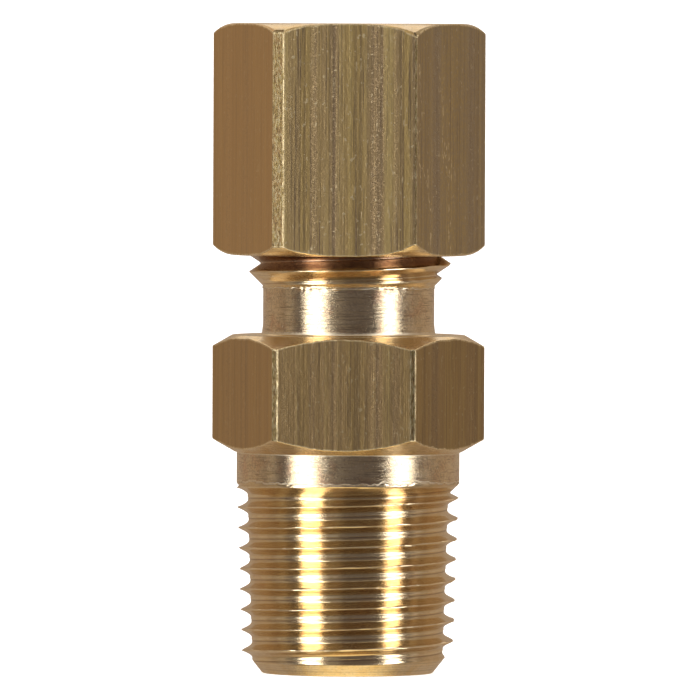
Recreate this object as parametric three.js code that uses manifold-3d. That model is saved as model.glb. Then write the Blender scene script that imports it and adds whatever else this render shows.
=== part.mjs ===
// A brass compression fitting, in millimetres, +Z up. It joins a 3/16 in tube (top) to a 1/8 in taper pipe
// port (bottom), and it comes apart into three pieces:
//
//   connector_body   one turned piece: taper pipe thread, wrench hex, neck and compression thread, with a
//                    through bore, a tube socket and a conical seat for the ferrule
//   ferrule          the loose sleeve that the nut squeezes between its own cone and the body's seat
//   compression_nut  the hex nut, with an inside thread, a cone for the ferrule and the hole for the tube
//
// The origin is the centre of the pipe end's flat face, so the fitting stands on it.
import * as THREE from "three";
import { mergeVertices } from "three/addons/utils/BufferGeometryUtils.js";
import Module from "manifold-3d";

const wasm = await Module();
wasm.setup();

// ---- Driving dimensions ----

const INCH = 25.4;
const TUBE_DIAMETER = (3 / 16) * INCH;

// Wrench hexes, cut from the same hexagonal bar.
const ACROSS_FLATS = (7 / 16) * INCH;
const CORNER_ROUNDING = 0.14; // radial, taken off the bar's sharp corners
const HEX_CHAMFER_ANGLE = 30; // degrees above the end face
const NUT_CHAMFER_INSET = 0.1; // the chamfers start this far inside the flats, on both ends of the nut
const BODY_CHAMFER_INSET = 0.18; // and on the upper end of the body's hex
const COLLAR_SHOULDER = 0.08; // width of the flat ring that the lower chamfer leaves round the collar
const NUT_LENGTH = 10.7;
const BODY_HEX_LENGTH = 5.4;
const NUT_TURN = 0.7; // degrees that the nut's flats stand round from the body's

// Taper pipe thread. The pitch circle is stated at the small end, and grows by 1 in 16 of the length.
const PIPE_PITCH = INCH / 27;
const PIPE_PITCH_DIAMETER = 9.233;
const PIPE_DEPTH_PER_PITCH = 0.54;
const PIPE_CREST_PER_PITCH = 0.1; // width of the crest
const PIPE_TAPER = 1 / 16;
const PIPE_CREST_HEIGHT = 0.63; // height of the first crest where it crosses +X
const PIPE_LENGTH = 10.2; // pipe end face to the underside of the hex
const PIPE_NOSE_DIAMETER = 7.86; // the end face, inside the lead-in chamfer
const COLLAR_LENGTH = 1.45; // the plain collar between the hex and the thread, as wide as the last crest
const RUN_OUT_LENGTH = 0.5; // the last groove grows shallow over this length

// Compression thread, parallel, on the body and in the nut.
const NUT_PITCH = INCH / 27;
const NUT_DEPTH_PER_PITCH = 0.68;
const NUT_CREST_PER_PITCH = 0.06; // width of the crest
const NUT_THREAD_CLEARANCE = 0.12; // radial, between the two threads
const NUT_CREST_HEIGHT = 18.887; // height of a crest of the body's thread where it crosses +X
const NECK_RELIEF = 0.13; // radial, from the thread's root in to the neck
const NECK_LENGTH = 2.25; // upper face of the hex to the first thread
const NUT_GAP = 3.67; // upper face of the hex to the nut, as it stands

// Ferrule, and the cones on each side of it.
const FERRULE_LENGTH = 5;
const FERRULE_BORE_CLEARANCE = 0.04; // radial, round the tube
const FERRULE_WALL = 0.88;
const FERRULE_NOSE_WALL = 0.23; // at its thin end
const FERRULE_NOSE_ANGLE = 20; // degrees from the axis
const FERRULE_BACK_WIDTH = 0.55; // of its 45 degree back chamfer
const FERRULE_BACK_GAP = 0.12; // along the axis, between the ferrule and the nut's cone
const SEAT_ANGLE = 22; // degrees from the axis
const SEAT_MOUTH_MARGIN = 0.25; // radial, from the ferrule to the mouth of the seat
const TIGHTENING_TURNS = 1.25; // from where the nut stands until the ferrule meets its seat
const SEAT_GAP = 0.05; // left along the axis at that point

// Bores.
const SOCKET_DEPTH = 6.3; // mouth of the seat to the tube stop
const SOCKET_CLEARANCE = 0.05; // radial, round the tube
const FLOW_DIAMETER = 3.2;
const NUT_HOLE_CLEARANCE = 0.08; // radial, round the tube
const NUT_CAVITY_DEPTH = 6.5; // underside of the nut to the start of its cone
const EDGE_BREAK = 0.25; // small chamfers on the bores' edges
const BODY_RIM_WIDTH = 0.42; // the flat ring round the mouth of the seat
const BODY_END_CHAMFER = 0.75; // outside that ring, to the compression thread's crest

// Facets. Cuts run past the faces that they open by OVERRUN, and slivers under SMALLEST_DETAIL are merged away.
const STEPS_PER_TURN = 36;
const OVERRUN = 1;
const SMALLEST_DETAIL = 0.004;

// ---- Shape helpers ----

const radians = THREE.MathUtils.degToRad;
const slope = (degrees) => Math.tan(radians(degrees));

// A closed three.js geometry as a manifold-3d solid.
function solidFrom(geometry) {
  const bare = geometry.clone().deleteAttribute("normal").deleteAttribute("uv");
  const merged = mergeVertices(bare, 1e-4);
  return new wasm.Manifold(
    new wasm.Mesh({
      numProp: 3,
      vertProperties: new Float32Array(merged.attributes.position.array),
      triVerts: new Uint32Array(merged.index.array),
    }),
  );
}

// A manifold-3d solid as a flat-shaded three.js geometry.
function geometryFrom(solid) {
  const { vertProperties, triVerts } = solid.simplify(SMALLEST_DETAIL).getMesh();
  const geometry = new THREE.BufferGeometry()
    .setAttribute("position", new THREE.BufferAttribute(vertProperties, 3))
    .setIndex(new THREE.BufferAttribute(triVerts, 1))
    .toNonIndexed();
  geometry.computeVertexNormals();
  return geometry;
}

// The solid turned by an outline of [radius, height] pairs, which runs upwards on its outer side. An outline
// that doesn't start on the axis is a ring, and is closed here.
function turned(outline) {
  const points = outline.map(([radius, height]) => new THREE.Vector2(radius, height));
  if (outline[0][0] > 0) points.push(points[0].clone());
  return solidFrom(new THREE.LatheGeometry(points, STEPS_PER_TURN).rotateX(Math.PI / 2));
}

// A hexagonal bar with two flats facing +Y and -Y, from height 0 up.
function hexBar(length) {
  const bar = new THREE.CylinderGeometry(ACROSS_FLATS / Math.sqrt(3), ACROSS_FLATS / Math.sqrt(3), length, 6);
  bar.rotateX(Math.PI / 2).rotateZ(Math.PI / 6).translate(0, 0, length / 2);
  return solidFrom(bar);
}

// A hexagonal bar with its corners rounded off and its ends chamfered down to flat circles of the radii given.
function wrenchHex(length, lower, upper) {
  const corner = ACROSS_FLATS / Math.sqrt(3) - CORNER_ROUNDING;
  const rise = (face) => (corner - face) * slope(HEX_CHAMFER_ANGLE);
  return hexBar(length).intersect(
    turned([
      [0, 0],
      [lower, 0],
      [corner, rise(lower)],
      [corner, length - rise(upper)],
      [upper, length],
      [0, length],
    ]),
  );
}

// One tooth of a 60 degree thread: [height, radius] pairs over exactly one pitch, centred on the crest.
function tooth(pitch, crestRadius, depth, crestWidth) {
  const crest = crestWidth / 2;
  const foot = crest + depth * slope(30);
  const root = crestRadius - depth;
  return [
    [-foot, root],
    [-crest, crestRadius],
    [crest, crestRadius],
    [foot, root],
    [pitch - foot, root],
  ];
}

// A right-hand threaded rod, at least from height bottom to height top. Its crest crosses +X at crestHeight, and
// its radius grows by taper for each millimetre of height. A ribbon one tooth wide winds up the axis, each turn
// welded to the one below, and a fan from the axis closes each end.
function threadedRod({ teeth, pitch, crestHeight, bottom, top, taper = 0 }) {
  const firstTurn = Math.floor((bottom - crestHeight) / pitch) - 2;
  const lastTurn = Math.ceil((top - crestHeight) / pitch) + 1;
  const stations = (lastTurn - firstTurn) * STEPS_PER_TURN;
  const across = teeth.length;
  const positions = [];
  const faces = [];
  const at = (station, place) => station * across + place;

  for (let station = 0; station <= stations; station++) {
    const turn = station / STEPS_PER_TURN;
    const angle = 2 * Math.PI * (turn % 1);
    for (const [rise, radius] of teeth) {
      const height = crestHeight + (firstTurn + turn) * pitch + rise;
      const grown = radius + taper * height;
      positions.push(grown * Math.cos(angle), grown * Math.sin(angle), height);
    }
  }
  for (let station = 0; station < stations; station++) {
    for (let place = 0; place < across - 1; place++) {
      const a = at(station, place);
      const b = at(station + 1, place);
      faces.push(a, b, b + 1, a, b + 1, a + 1);
    }
  }

  const lowEnd = positions.length / 3;
  positions.push(0, 0, crestHeight + firstTurn * pitch);
  const highEnd = lowEnd + 1;
  positions.push(0, 0, crestHeight + (lastTurn + 1) * pitch);
  for (let station = 0; station < STEPS_PER_TURN; station++) {
    faces.push(lowEnd, at(station + 1, 0), at(station, 0));
    const high = stations - STEPS_PER_TURN + station;
    faces.push(highEnd, at(high, across - 1), at(high + 1, across - 1));
  }
  for (let place = 0; place < across - 1; place++) {
    faces.push(lowEnd, at(0, place), at(0, place + 1));
    faces.push(highEnd, at(stations, place + 1), at(stations, place));
  }
  return solidFrom(
    new THREE.BufferGeometry()
      .setAttribute("position", new THREE.Float32BufferAttribute(positions, 3))
      .setIndex(faces),
  );
}

// ---- Radii, from the tube outwards ----

const tubeRadius = TUBE_DIAMETER / 2;
const socketRadius = tubeRadius + SOCKET_CLEARANCE;
const nutHoleRadius = tubeRadius + NUT_HOLE_CLEARANCE;
const ferruleBoreRadius = tubeRadius + FERRULE_BORE_CLEARANCE;
const ferruleNoseRadius = ferruleBoreRadius + FERRULE_NOSE_WALL;
const ferruleRadius = ferruleBoreRadius + FERRULE_WALL;
const seatMouthRadius = ferruleRadius + SEAT_MOUTH_MARGIN;
const bodyRimRadius = seatMouthRadius + BODY_RIM_WIDTH;
const nutThreadRadius = bodyRimRadius + BODY_END_CHAMFER;
const nutThreadDepth = NUT_DEPTH_PER_PITCH * NUT_PITCH;
const neckRadius = nutThreadRadius - nutThreadDepth - NECK_RELIEF;
const nutCavityRadius = nutThreadRadius - nutThreadDepth + NUT_THREAD_CLEARANCE;

// The pipe thread's crest at the end face, and the blank that it was cut in.
const pipeThreadDepth = PIPE_DEPTH_PER_PITCH * PIPE_PITCH;
const pipeCrestRadius = (PIPE_PITCH_DIAMETER + pipeThreadDepth) / 2;
const collarRadius = pipeCrestRadius + (PIPE_TAPER / 2) * (PIPE_LENGTH - COLLAR_LENGTH);

// ---- Places along the axis ----

const hexBottom = PIPE_LENGTH;
const hexTop = hexBottom + BODY_HEX_LENGTH;
const nutBottom = hexTop + NUT_GAP;

// The nut's cone is 45 degrees, and it ends at the tube hole. The ferrule's back chamfer lies under it. These
// heights are from the underside of the nut.
const nutConeEnd = NUT_CAVITY_DEPTH + nutCavityRadius - nutHoleRadius;
const ferruleBackEdge = NUT_CAVITY_DEPTH + nutCavityRadius - ferruleRadius - FERRULE_BACK_GAP;
const ferruleBottom = ferruleBackEdge + FERRULE_BACK_WIDTH - FERRULE_LENGTH;

// The seat lies where the ferrule's nose meets it once the nut is tightened.
const seatedNose = nutBottom + ferruleBottom - TIGHTENING_TURNS * NUT_PITCH - SEAT_GAP;
const bodyTop = seatedNose + (seatMouthRadius - ferruleNoseRadius) / slope(SEAT_ANGLE);
const seatBottom = bodyTop - (seatMouthRadius - socketRadius) / slope(SEAT_ANGLE);
const tubeStop = bodyTop - SOCKET_DEPTH;

// ---- The three pieces ----

// The taper thread below its collar, with a 45 degree lead-in and a last groove that fades out.
function pipeThread() {
  const collarBottom = hexBottom - COLLAR_LENGTH;
  const runOut = collarBottom - RUN_OUT_LENGTH;
  const nose = PIPE_NOSE_DIAMETER / 2;
  const taper = PIPE_TAPER / 2;
  const rod = threadedRod({
    teeth: tooth(PIPE_PITCH, pipeCrestRadius, pipeThreadDepth, PIPE_CREST_PER_PITCH * PIPE_PITCH),
    pitch: PIPE_PITCH,
    crestHeight: PIPE_CREST_HEIGHT,
    bottom: 0,
    top: hexBottom,
    taper,
  });
  const outside = turned([
    [0, 0],
    [nose, 0],
    [collarRadius, collarRadius - nose],
    [collarRadius, hexBottom],
    [0, hexBottom],
  ]);
  const core = turned([
    [0, runOut - OVERRUN],
    [pipeCrestRadius - pipeThreadDepth + taper * runOut, runOut],
    [collarRadius, collarBottom],
    [collarRadius, hexBottom + OVERRUN],
    [0, hexBottom + OVERRUN],
  ]);
  return rod.intersect(outside).add(core);
}

// The compression thread above the neck, chamfered at both ends.
function nutThread() {
  const threadBottom = hexTop + NECK_LENGTH;
  const rod = threadedRod({
    teeth: tooth(NUT_PITCH, nutThreadRadius, nutThreadDepth, NUT_CREST_PER_PITCH * NUT_PITCH),
    pitch: NUT_PITCH,
    crestHeight: NUT_CREST_HEIGHT,
    bottom: threadBottom,
    top: bodyTop,
  });
  const outside = turned([
    [0, threadBottom],
    [neckRadius, threadBottom],
    [nutThreadRadius, threadBottom + nutThreadRadius - neckRadius],
    [nutThreadRadius, bodyTop - BODY_END_CHAMFER],
    [bodyRimRadius, bodyTop],
    [0, bodyTop],
  ]);
  const core = turned([
    [0, hexTop - OVERRUN],
    [neckRadius, hexTop - OVERRUN],
    [neckRadius, threadBottom + OVERRUN],
    [0, threadBottom + OVERRUN],
  ]);
  return rod.intersect(outside).add(core);
}

// The way through the body, bottom to top: flow bore, tube stop, socket and seat.
function bodyBore() {
  const flow = FLOW_DIAMETER / 2;
  return turned([
    [0, -OVERRUN],
    [flow + EDGE_BREAK + OVERRUN, -OVERRUN],
    [flow, EDGE_BREAK],
    [flow, tubeStop],
    [socketRadius, tubeStop],
    [socketRadius, seatBottom],
    [seatMouthRadius, bodyTop],
    [seatMouthRadius, bodyTop + OVERRUN],
    [0, bodyTop + OVERRUN],
  ]);
}

function connectorBody() {
  const upperFace = ACROSS_FLATS / 2 - BODY_CHAMFER_INSET;
  const hex = wrenchHex(BODY_HEX_LENGTH, collarRadius + COLLAR_SHOULDER, upperFace).translate([0, 0, hexBottom]);
  return pipeThread().add(hex).add(nutThread()).subtract(bodyBore());
}

// The nut, from its underside up. Its thread is the body's, moved out by the clearance and set to the same
// helix for where the nut stands.
function compressionNut() {
  const face = ACROSS_FLATS / 2 - NUT_CHAMFER_INSET;
  const root = nutThreadRadius + NUT_THREAD_CLEARANCE;
  const crestHeight = NUT_CREST_HEIGHT - nutBottom + (NUT_TURN / 360) * NUT_PITCH;
  const threads = threadedRod({
    teeth: tooth(NUT_PITCH, root, nutThreadDepth, NUT_CREST_PER_PITCH * NUT_PITCH),
    pitch: NUT_PITCH,
    crestHeight,
    bottom: 0,
    top: NUT_CAVITY_DEPTH,
  });
  const threadedLength = turned([
    [0, -OVERRUN],
    [root + OVERRUN, -OVERRUN],
    [root + OVERRUN, NUT_CAVITY_DEPTH + nutCavityRadius - root - OVERRUN],
    [nutCavityRadius, NUT_CAVITY_DEPTH],
    [0, NUT_CAVITY_DEPTH],
  ]);
  const cavity = turned([
    [0, -OVERRUN],
    [root + EDGE_BREAK + OVERRUN, -OVERRUN],
    [nutCavityRadius, root + EDGE_BREAK - nutCavityRadius],
    [nutCavityRadius, NUT_CAVITY_DEPTH],
    [nutHoleRadius, nutConeEnd],
    [nutHoleRadius, NUT_LENGTH - EDGE_BREAK],
    [nutHoleRadius + EDGE_BREAK + OVERRUN, NUT_LENGTH + OVERRUN],
    [0, NUT_LENGTH + OVERRUN],
  ]);
  return wrenchHex(NUT_LENGTH, face, face).subtract(cavity).subtract(threads.intersect(threadedLength));
}

// The ferrule, from its nose up: long taper, plain band and short back chamfer, round a plain bore.
function ferrule() {
  const noseLength = (ferruleRadius - ferruleNoseRadius) / slope(FERRULE_NOSE_ANGLE);
  return turned([
    [ferruleBoreRadius, 0],
    [ferruleNoseRadius, 0],
    [ferruleRadius, noseLength],
    [ferruleRadius, FERRULE_LENGTH - FERRULE_BACK_WIDTH],
    [ferruleRadius - FERRULE_BACK_WIDTH, FERRULE_LENGTH],
    [ferruleBoreRadius, FERRULE_LENGTH],
  ]);
}

// ---- The assembly ----

function piece(name, solid, colour, roughness) {
  const material = new THREE.MeshStandardMaterial({ color: colour, roughness, metalness: 1 });
  const mesh = new THREE.Mesh(geometryFrom(solid), material);
  mesh.name = name;
  return mesh;
}

const body = piece("connector_body", connectorBody(), 0xb08d57, 0.32);
const nut = piece("compression_nut", compressionNut(), 0xa8894f, 0.38);
nut.rotation.z = radians(NUT_TURN);
const sleeve = piece("ferrule", ferrule(), 0xc39b5c, 0.28);
sleeve.position.z = ferruleBottom;

// The nut and the ferrule inside it move along the body together.
const nutGroup = new THREE.Group();
nutGroup.position.z = nutBottom;
nutGroup.add(nut, sleeve);

const fitting = new THREE.Group();
fitting.add(body, nutGroup);

export default fitting;
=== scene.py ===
"""A brass compression fitting standing on its pipe end, as a product shot. Lengths are in millimetres until a
mesh is made, and the mesh is in metres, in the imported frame: +Z runs up the fitting's axis.

Each of the three real pieces is one closed surface, turned out of a ring of columns:

  connector_skin   the body: pipe thread, collar, wrench hex, neck, compression thread, seat, socket and bore
  nut_skin         the nut: wrench hex, inside thread, cone and tube hole
  ferrule_skin     the ferrule
"""

import math

import bpy
import numpy as np
from mathutils import Matrix, Vector


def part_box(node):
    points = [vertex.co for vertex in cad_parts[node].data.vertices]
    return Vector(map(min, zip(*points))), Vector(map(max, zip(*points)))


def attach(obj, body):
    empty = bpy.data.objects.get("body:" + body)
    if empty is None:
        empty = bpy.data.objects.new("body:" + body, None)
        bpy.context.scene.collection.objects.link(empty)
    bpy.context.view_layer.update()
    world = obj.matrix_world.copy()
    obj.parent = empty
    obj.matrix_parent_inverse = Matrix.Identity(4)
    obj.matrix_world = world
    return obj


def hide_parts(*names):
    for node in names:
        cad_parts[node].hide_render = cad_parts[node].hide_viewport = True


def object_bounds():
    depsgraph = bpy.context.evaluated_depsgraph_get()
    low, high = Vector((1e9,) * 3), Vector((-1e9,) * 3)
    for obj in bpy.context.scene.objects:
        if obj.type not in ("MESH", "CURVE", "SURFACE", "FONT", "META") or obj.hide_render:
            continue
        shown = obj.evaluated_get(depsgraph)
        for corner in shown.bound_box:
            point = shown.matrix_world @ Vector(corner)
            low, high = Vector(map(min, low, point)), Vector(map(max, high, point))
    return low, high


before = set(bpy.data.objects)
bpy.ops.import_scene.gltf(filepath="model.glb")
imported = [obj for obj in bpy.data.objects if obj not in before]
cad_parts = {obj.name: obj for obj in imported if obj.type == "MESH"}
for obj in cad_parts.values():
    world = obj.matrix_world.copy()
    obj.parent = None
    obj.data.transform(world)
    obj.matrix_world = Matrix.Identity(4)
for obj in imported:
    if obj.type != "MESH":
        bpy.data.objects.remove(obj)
rest_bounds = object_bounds()

MM = 0.001

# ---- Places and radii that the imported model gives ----


def span(node):
    """The lowest and highest points of a CAD node, in millimetres."""
    low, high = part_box(node)
    return low.z / MM, high.z / MM


BODY_TOP = span("connector_body")[1]
NUT_BOTTOM, NUT_TOP = span("compression_nut")
FERRULE_BOTTOM, FERRULE_TOP = span("ferrule")
FERRULE_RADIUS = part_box("ferrule")[1].x / MM
HEX_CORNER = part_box("connector_body")[1].x / MM

# ---- Sizes that it doesn't give ----

INCH = 25.4
ACROSS_FLATS = 7 / 16 * INCH
CHAMFER_SLOPE = math.tan(math.radians(30))
NUT_TURN = math.radians(0.7)  # of the nut's flats from the body's
FACE_MARGIN = 0.18
BODY_FACE = ACROSS_FLATS / 2 - FACE_MARGIN  # radius of the flat circle that the body's top chamfer leaves
DOME_FACE = 5.16  # and the same for the nut, whose chamfers are rounded
DOME_HEIGHT = 0.47
DOME_POWER = 2.5
DOME_ROWS = (0.3, 0.5, 0.7, 0.86)  # shares of the way from its flat circle to the hex

PIPE_PITCH = INCH / 27
PIPE_DEPTH = 0.54 * PIPE_PITCH
PIPE_PITCH_DIAMETER = 9.233
PIPE_CREST = (PIPE_PITCH_DIAMETER + PIPE_DEPTH) / 2  # radius at the end face
PIPE_TAPER = 1 / 32  # of radius with height
PIPE_CREST_HEIGHT = 0.56  # of the first crest, towards +X
HEX_BOTTOM = 10.2
HEX_TOP = 15.6
COLLAR_LENGTH = 1.45
COLLAR_BOTTOM = HEX_BOTTOM - COLLAR_LENGTH
COLLAR = PIPE_CREST + PIPE_TAPER * COLLAR_BOTTOM  # radius
FADING = 0.5
RUN_OUT = COLLAR_BOTTOM - FADING  # height where the roots start to rise to the collar
NOSE = 7.86 / 2  # radius of the end face
NOSE_SLOPE = 0.8  # of the chamfer at the end face, outwards with height
FULL_THREAD = 0.97  # height where the crests are whole
FIRST_CREST_SLOPE = 2  # of the blank below that height

NUT_PITCH = INCH / 27
NUT_DEPTH = 0.68 * NUT_PITCH
NUT_CREST_HEIGHT = 18.887  # of a crest towards +X
NUT_CLEARANCE = 0.12

TUBE = 3 / 16 * INCH / 2  # radius, as are the sizes worked out from it
SOCKET_CLEARANCE = 0.05
HOLE_CLEARANCE = 0.08
FERRULE_CLEARANCE = 0.04
NOSE_WALL = 0.23
SEAT_CLEARANCE = 0.25
RIM_WIDTH = 0.42
TOP_CHAMFER = 0.75
NECK_RELIEF = 0.13
SOCKET = TUBE + SOCKET_CLEARANCE
HOLE = TUBE + HOLE_CLEARANCE
FERRULE_BORE = TUBE + FERRULE_CLEARANCE
FERRULE_NOSE = FERRULE_BORE + NOSE_WALL
SEAT_MOUTH = FERRULE_RADIUS + SEAT_CLEARANCE
BODY_RIM = SEAT_MOUTH + RIM_WIDTH
NUT_CREST = BODY_RIM + TOP_CHAMFER
NECK = NUT_CREST - NUT_DEPTH - NECK_RELIEF
NECK_LENGTH = 2.25
THREAD_BOTTOM = HEX_TOP + NECK_LENGTH
SEAT_ANGLE = math.radians(22)
SEAT_BOTTOM = BODY_TOP - (SEAT_MOUTH - SOCKET) / math.tan(SEAT_ANGLE)
SOCKET_DEPTH = 6.3
TUBE_STOP = BODY_TOP - SOCKET_DEPTH
FLOW = 3.2 / 2  # radius of the bore below the tube's stop
FERRULE_NOSE_ANGLE = math.radians(20)
FERRULE_BACK_WIDTH = 0.55
EDGE_BREAK = 0.25

NUT_ROOT = NUT_CREST + NUT_CLEARANCE
NUT_CAVITY = NUT_ROOT - NUT_DEPTH
NUT_CAVITY_DEPTH = 6.5
CONE_START = NUT_BOTTOM + NUT_CAVITY_DEPTH
CONE_END = CONE_START + NUT_CAVITY - HOLE

# ---- Columns: the ring of directions that every row of a surface follows ----

FLAT_STEPS = 24  # columns across a flat
CORNER_FILLET = 0.03
FILLET_STEPS = 3
SUPPORT = 2.5  # a row this many fillets from an edge keeps the shading of the wall beside it flat
FILLET_SHARE = 0.45  # the most of a wall that the rounding at one of its ends takes up
RELAXING = 40  # rounds of averaging that even out the spacing of the columns

# For each hex, its corners from +X round by +Y: the width of the bevel that drawing left on a corner, how
# bright that bevel is drawn, which is painted shade that dims the front bevels, most on the right, and how
# bright its edge lines are drawn, which is partly wear and partly painted highlight. Then its flats, each
# after
# the corner of the same number: how streaky and grey a flat is, and how bright it is drawn, which is partly
# its own tone and partly painted shade, darkest on the right-hand flats and lightest on the left.
BODY_HEX = {
    "bevel": (0.5, 0.35, 0.3, 0.5, 0.3, 0.3),
    "bevel_shade": (0.5, 0.5, 0.5, 0.5, 0.26, 0.15),
    "wear_and_highlight": (0.6, 0.5, 0.5, 0.6, 1, 0.8),
    "tone": (0.5, 0.3, 0.5, 0.1, 0.42, 0.4),
    "shade": (0.8, 0.8, 0.8, 0.82, 0.67, 0.6),
}
NUT_HEX = {
    "bevel": (0.5, 0.4, 0.3, 0.5, 0.6, 0.12),
    "bevel_shade": (0.5, 0.5, 0.5, 0.5, 0.42, 0.2),
    "wear_and_highlight": (0.6, 0.5, 0.5, 0.6, 1, 0.15),
    "tone": (0.6, 0.3, 0.8, 0.05, 0.85, 1.0),
    "shade": (0.85, 0.9, 0.85, 0.96, 0.88, 0.8),
}
DULLER_SIDE = 0.35  # how bright a bevel's first edge line is drawn, as a share of its second


def rounded(before, corner, after, reach):
    """Points round a corner: a support, the arc and a support. reach is the arc's tangent length."""
    shortest = 1e-9  # keeps a wall of no length from dividing by zero

    def towards(point, distance):
        length = np.maximum(np.linalg.norm(point - corner, axis=-1, keepdims=True), shortest)
        return corner + (point - corner) * np.minimum(distance / length, FILLET_SHARE)

    start = towards(before, reach)
    end = towards(after, reach)
    arc = []
    for step in range(FILLET_STEPS + 1):
        t = step / FILLET_STEPS
        arc.append((1 - t) ** 2 * start + 2 * t * (1 - t) * corner + t**2 * end)
    return [towards(before, reach * SUPPORT)] + arc + [towards(after, reach * SUPPORT)]


def hex_columns(bar):
    """Columns round a hexagonal bar, with the bar's radius, its tone, its painted shade and its edge marks
    along each of them.
    """
    sharp = ACROSS_FLATS / math.sqrt(3)
    corners = [np.array([math.cos(a), math.sin(a)]) * sharp for a in np.radians(np.arange(6) * 60)]
    ends = []
    for k, corner in enumerate(corners):
        for neighbour in (corners[k - 1], corners[(k + 1) % 6]):
            ends.append(corner + (neighbour - corner) / sharp * bar["bevel"][k] / math.sqrt(3))
    points, marks = [], []
    for k in range(12):
        before, corner, after = ends[k - 1], ends[k], ends[(k + 1) % 12]
        arc = rounded(before, corner, after, CORNER_FILLET)
        half = len(arc) // 2
        # A bevel's shade is painted shade; a flat's is partly its own tone and partly painted shade.
        bevel = (1, 0, bar["bevel_shade"][k // 2])
        flats = [(0, bar["tone"][side], bar["shade"][side]) for side in (k // 2 - 1, k // 2)]
        points += arc
        if k % 2 == 0:
            marks += [flats[0]] * half + [bevel] * half
            continue
        marks += [bevel] * half + [flats[1]] * half
        flat_end = rounded(corner, after, ends[(k + 2) % 12], CORNER_FILLET)[0]
        for step in range(1, FLAT_STEPS):
            points.append(arc[-1] + (flat_end - arc[-1]) * step / FLAT_STEPS)
            marks.append(flats[1])
    points, marks = np.array(points), np.array(marks, float)
    steps = [FILLET_STEPS + 3, FILLET_STEPS + 3 + FLAT_STEPS - 1]
    # Edge marks on each corner's fillets, drawn as bright lines: partly wear, partly painted highlight.
    wear_and_highlight = [bar["wear_and_highlight"][k // 2] * (1 if k % 2 else DULLER_SIDE) for k in range(12)]
    on_edge = [wear_and_highlight[k] * (0 < j <= FILLET_STEPS + 1) for k in range(12) for j in range(steps[k % 2])]
    angle = np.unwrap(np.arctan2(points[:, 1], points[:, 0]))
    return {
        "angle": angle,
        "relaxed": relaxed(angle),
        "hex": np.linalg.norm(points, axis=1),
        "bevel": marks[:, 0],
        "tone": marks[:, 1],
        "shade": marks[:, 2],
        "edge": np.array(on_edge, float),
    }


def relaxed(angle):
    """The same directions with their spacing evened out, so that it changes slowly from column to column."""
    even = np.arange(len(angle)) * 2 * math.pi / len(angle)
    lead = angle - even
    for _ in range(RELAXING):
        lead = (np.roll(lead, 1) + lead + np.roll(lead, -1)) / 3
    return even + lead


def round_columns(count):
    """Evenly spaced columns for a piece with no flats."""
    nothing = np.zeros(count)
    columns = {key: nothing for key in ("hex", "bevel", "tone", "shade", "edge")}
    columns["angle"] = columns["relaxed"] = np.arange(count) * 2 * math.pi / count
    return columns


# ---- Irregularity ----

RIPPLE_VALUES = 4096
RIPPLE_START = 900  # which of those values is at place 0
NICK_LEVEL = 0.45  # noise above this is a nick

# The waves along an edge, as height and length, and its chips, as spacing and depth.
HEX_WAVES = (0.012, 0.12)
HEX_CHIPS = (0.45, 0.06)
COLLAR_WAVES = (0.045, 0.14)
COLLAR_CHIPS = (0.9, 0.16)
NECK_WAVES = (0.035, 0.16)


def ripple(places, spacing, seed):
    """Smooth noise from -1 to 1 along a line, with a new random value every spacing."""
    values = np.random.default_rng(seed).uniform(-1, 1, RIPPLE_VALUES)
    at = np.asarray(places, float) / spacing + RIPPLE_START
    low = np.floor(at).astype(int)
    share = at - low
    share = share * share * (3 - 2 * share)
    return values[low % RIPPLE_VALUES] * (1 - share) + values[(low + 1) % RIPPLE_VALUES] * share


def nicks(places, spacing, depth, seed):
    """Mostly zero, with a dent down to -depth here and there."""
    return -depth * np.maximum(ripple(places, spacing, seed) - NICK_LEVEL, 0) / (1 - NICK_LEVEL)


def wavy(level, along, waves, seed):
    """A level with waves on it, at each place along an edge."""
    height, length = waves
    return level + height * ripple(along, length, seed)


def ragged(level, along, waves, chips, seed):
    """The same with chips, which raise the level where they are."""
    return wavy(level, along, waves, seed) - nicks(along, *chips, seed + 1)


# ---- Surfaces ----

# What each face is finished as, in the order of a piece's material slots.
FLAT, BEVEL, CHAMFER, TURNED, THREAD, NUT_THREAD, BORE = range(7)

WELD = 1e-5
CREST_WIDTH = 0.06  # of a pitch, each way from a crest, that is burred and has a painted highlight
BURR_WAVES = 0.7  # length of the waves that a crest's burr makes up and down
BURR_NOTCHES = 0.35  # and of those that it makes in and out
BURR_LOSS = 0.6  # how far inwards the second ones lie, as a share of their height
BURR_INWARDS = 0.5  # their height, as a share of the first ones'
BLANK_EDGE = 0.07  # how far a blank cuts into a thread across the burr at its edge

# Painted shade on a thread under the nut, in turns up from where that starts.
NUT_SHADE_ONSET = 0.08
NUT_SHADE_END = 1.6
NUT_SHADE_LEFT = 0.2  # how dark it is still painted above that

# Painted shade and painted highlights across one pitch of a thread, which runs up from the root at -0.5 past
# the crest at 0: darker bands on the flanks and dark lines above the crest and in the root under its ridge,
# where the metal would mirror less light, and bright lines on the crest and the ridge. A band is an amount
# and the places that it lies between. A line is an amount, its middle and its half width.
SHADE_FACING_DOWN = (0.25, -0.38, -0.07)
SHADE_FACING_UP = (0.16, 0.1, 0.4)
SHADE_BAND_EDGE = 0.04
SHADE_ABOVE_CREST = (0.75, 0.07, 0.04)
SHADE_BELOW_RIDGE = (0.9, 0.45, 0.06)
# Painted highlights on the crest and on the ridge of the root.
HIGHLIGHT_ON_CREST = (1, -0.02, CREST_WIDTH)
HIGHLIGHT_ON_RIDGE = (0.6, -0.44, 0.05)

# The shape of each thread across one pitch: how blunt its crest is, and how far its flank reaches.
PIPE_BLUNT = 0.03
PIPE_FLANK = 0.36
PIPE_HOLLOW = 1.9  # 1 is a straight flank, and more is a hollow one
PIPE_RIDGE = (0.06, -0.44, 0.06)
NUT_BLUNT = 0.02
NUT_FLANK = 0.45
CROWDING = 0.7  # how much closer together the rows are at a crest and at a root


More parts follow.
